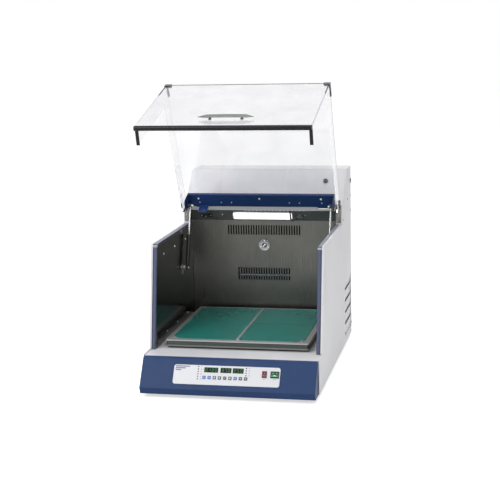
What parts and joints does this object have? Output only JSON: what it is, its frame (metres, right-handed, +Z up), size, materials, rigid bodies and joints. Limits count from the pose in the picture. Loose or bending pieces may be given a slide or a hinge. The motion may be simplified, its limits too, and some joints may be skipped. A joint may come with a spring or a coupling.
{
  "type": "incubator shaker",
  "caption": "Benchtop incubator shaker with a clear lifting hood on gas struts, a stainless heated chamber, an orbiting platform with rubber mats and a sloping control panel.",
  "frame": {"origin": "centre of the footprint on the bench, at the underside of the rubber feet", "axes": "+X to the right of a person facing the control panel, +Y from the front to the rear, +Z up"},
  "size_m": [0.54, 0.8346, 0.9157],
  "materials": {
    "white_paint": "fine satin powder coat",
    "grey_paint": "satin",
    "foot_rubber": "matt",
    "blue_panel": "satin blue",
    "panel_film": "printed film",
    "green_lens": "tinted",
    "black_plastic": "satin",
    "board_green": "lacquered",
    "stainless": "ground",
    "wall_rubber": "matt",
    "diffuser": "frosted",
    "heater_tube": "dull",
    "motor_metal": "satin",
    "cast_metal": "machined",
    "belt_rubber": "matt",
    "cable_sheath": "satin",
    "bracket_steel": "plated",
    "shaft_steel": "ground",
    "pulley_metal": "turned",
    "carrier_black": "matt black",
    "tray_metal": "satin",
    "mat_rubber": "ribbed",
    "clear_acrylic": "clear",
    "cap_plastic": "satin",
    "seal_rubber": "satin",
    "handle_metal": "satin",
    "bar_blue": "satin blue",
    "strut_black": "gloss black",
    "fan_metal": "pressed",
    "key_blue": "moulded",
    "key_dark": "moulded",
    "rocker_red": "moulded",
    "rocker_green": "moulded, lit"
  },
  "bodies": {
    "root": {"base_pan": "grey_paint", "feet": "foot_rubber", "fascia": "blue_panel", "overlay_plate": "panel_film", "display_windows": "green_lens", "rocker_bezels": "black_plastic", "control_board": "board_green", "deck": "white_paint", "side_cover_left": "white_paint", "side_cover_right": "white_paint", "side_liners": "stainless", "wall_seals": "wall_rubber", "back_wall": "stainless", "lamp_plate": "stainless", "lamp_window": "diffuser", "lid_switch": "black_plastic", "air_duct": "stainless", "fan_motor": "motor_metal", "heater": "heater_tube", "housing_face": "white_paint", "rear_cover": "white_paint", "rear_panel": "white_paint", "mains_inlet": "black_plastic", "bearing_housings": "cast_metal", "drive_motor": "motor_metal", "drive_belt": "belt_rubber", "hinge_brackets": "bracket_steel", "lamp_cable": "cable_sheath"},
    "hood": {"hood_shell": "clear_acrylic", "hood_caps": "cap_plastic", "hood_seals": "seal_rubber", "hood_handle": "handle_metal", "hinge_bar": "bar_blue"},
    "strut_tube_left": {"strut_tube_left": "strut_black"},
    "strut_rod_left": {"strut_rod_left": "shaft_steel"},
    "strut_tube_right": {"strut_tube_right": "strut_black"},
    "strut_rod_right": {"strut_rod_right": "shaft_steel"},
    "crank": {"drive_shaft": "shaft_steel", "drive_pulley": "pulley_metal"},
    "platform": {"platform_carrier": "carrier_black", "platform_tray": "tray_metal", "platform_mats": "mat_rubber", "platform_fixings": "tray_metal"},
    "idler_left": {"idler_left": "shaft_steel"},
    "idler_right": {"idler_right": "shaft_steel"},
    "motor_rotor": {"motor_pulley": "pulley_metal"},
    "fan": {"circulation_fan": "fan_metal"},
    "power_rocker": {"power_rocker": "rocker_red"},
    "motion_rocker": {"motion_rocker": "rocker_green"},
    "limiter_knob": {"limiter_knob": "black_plastic"},
    "lid_plunger": {"lid_plunger": "bracket_steel"},
    "key_1": {"key_1": "key_blue"},
    "key_2": {"key_2": "key_blue"},
    "key_3": {"key_3": "key_dark"},
    "key_4": {"key_4": "key_dark"},
    "key_5": {"key_5": "key_dark"},
    "key_6": {"key_6": "key_dark"},
    "key_7": {"key_7": "key_blue"},
    "key_8": {"key_8": "key_dark"},
    "key_9": {"key_9": "key_dark"}
  },
  "joints": [
    {"name": "hood_hinge", "type": "hinge", "parent": "root", "child": "hood", "pos_m": [0, 0.1865, 0.4965], "axis": [1, 0, 0], "range_deg": [0, 64]},
    {"name": "strut_swing_left", "type": "hinge", "parent": "root", "child": "strut_tube_left", "pos_m": [-0.238, 0.0785, 0.302], "axis": [1, 0, 0], "range_deg": [-9.16, 0]},
    {"name": "strut_slide_left", "type": "slide", "parent": "strut_tube_left", "child": "strut_rod_left", "axis": [0, 0.3276, 0.9448], "range_m": [-0.02732, 0]},
    {"name": "strut_swing_right", "type": "hinge", "parent": "root", "child": "strut_tube_right", "pos_m": [0.238, 0.0785, 0.302], "axis": [1, 0, 0], "range_deg": [-9.16, 0]},
    {"name": "strut_slide_right", "type": "slide", "parent": "strut_tube_right", "child": "strut_rod_right", "axis": [0, 0.3276, 0.9448], "range_m": [-0.02732, 0]},
    {"name": "crank_spin", "type": "hinge", "parent": "root", "child": "crank", "pos_m": [0, 0.0625, 0.098], "axis": [0, 0, 1], "continuous": true},
    {"name": "platform_orbit", "type": "hinge", "parent": "crank", "child": "platform", "pos_m": [0, 0.075, 0.098], "axis": [0, 0, 1], "continuous": true},
    {"name": "idler_left_spin", "type": "hinge", "parent": "root", "child": "idler_left", "pos_m": [-0.14, -0.1325, 0.098], "axis": [0, 0, 1], "continuous": true},
    {"name": "idler_right_spin", "type": "hinge", "parent": "root", "child": "idler_right", "pos_m": [0.14, -0.1325, 0.098], "axis": [0, 0, 1], "continuous": true},
    {"name": "motor_spin", "type": "hinge", "parent": "root", "child": "motor_rotor", "pos_m": [0, 0.2325, 0.078], "axis": [0, 0, 1], "continuous": true},
    {"name": "fan_spin", "type": "hinge", "parent": "root", "child": "fan", "pos_m": [0, 0.2183, 0.357], "axis": [0, 1, 0], "continuous": true},
    {"name": "key_1_press", "type": "slide", "parent": "root", "child": "key_1", "axis": [0, 0.8248, -0.5654], "range_m": [0, 0.0006], "stiffness_N_per_m": 400},
    {"name": "key_2_press", "type": "slide", "parent": "root", "child": "key_2", "axis": [0, 0.8248, -0.5654], "range_m": [0, 0.0006], "stiffness_N_per_m": 400},
    {"name": "key_3_press", "type": "slide", "parent": "root", "child": "key_3", "axis": [0, 0.8248, -0.5654], "range_m": [0, 0.0006], "stiffness_N_per_m": 400},
    {"name": "key_4_press", "type": "slide", "parent": "root", "child": "key_4", "axis": [0, 0.8248, -0.5654], "range_m": [0, 0.0006], "stiffness_N_per_m": 400},
    {"name": "key_5_press", "type": "slide", "parent": "root", "child": "key_5", "axis": [0, 0.8248, -0.5654], "range_m": [0, 0.0006], "stiffness_N_per_m": 400},
    {"name": "key_6_press", "type": "slide", "parent": "root", "child": "key_6", "axis": [0, 0.8248, -0.5654], "range_m": [0, 0.0006], "stiffness_N_per_m": 400},
    {"name": "key_7_press", "type": "slide", "parent": "root", "child": "key_7", "axis": [0, 0.8248, -0.5654], "range_m": [0, 0.0006], "stiffness_N_per_m": 400},
    {"name": "key_8_press", "type": "slide", "parent": "root", "child": "key_8", "axis": [0, 0.8248, -0.5654], "range_m": [0, 0.0006], "stiffness_N_per_m": 400},
    {"name": "key_9_press", "type": "slide", "parent": "root", "child": "key_9", "axis": [0, 0.8248, -0.5654], "range_m": [0, 0.0006], "stiffness_N_per_m": 400},
    {"name": "power_rocker_tip", "type": "hinge", "parent": "root", "child": "power_rocker", "pos_m": [0.1118, -0.38711, 0.07859], "axis": [1, 0, 0], "range_deg": [0, 13]},
    {"name": "motion_rocker_tip", "type": "hinge", "parent": "root", "child": "motion_rocker", "pos_m": [0.143, -0.38711, 0.07859], "axis": [1, 0, 0], "range_deg": [0, 13]},
    {"name": "limiter_turn", "type": "hinge", "parent": "root", "child": "limiter_knob", "pos_m": [0.203, 0.2795, 0.569], "axis": [0, -0.7071, 0.7071], "range_deg": [-135, 135]},
    {"name": "lid_plunger_press", "type": "slide", "parent": "root", "child": "lid_plunger", "axis": [0, 0.8595, 0.5111], "range_m": [0, 0.003], "stiffness_N_per_m": 300}
  ],
  "couplings": [
    {"joint": "platform_orbit", "follows": "crank_spin", "ratio": -1},
    {"joint": "idler_left_spin", "follows": "crank_spin", "ratio": 1},
    {"joint": "idler_right_spin", "follows": "crank_spin", "ratio": 1},
    {"joint": "motor_spin", "follows": "crank_spin", "ratio": 3},
    {"joint": "strut_swing_left", "follows": "hood_hinge", "ratio": -0.14314},
    {"joint": "strut_slide_left", "follows": "hood_hinge", "m_per_rad": -0.024456},
    {"joint": "strut_swing_right", "follows": "hood_hinge", "ratio": -0.14314},
    {"joint": "strut_slide_right", "follows": "hood_hinge", "m_per_rad": -0.024456}
  ]
}
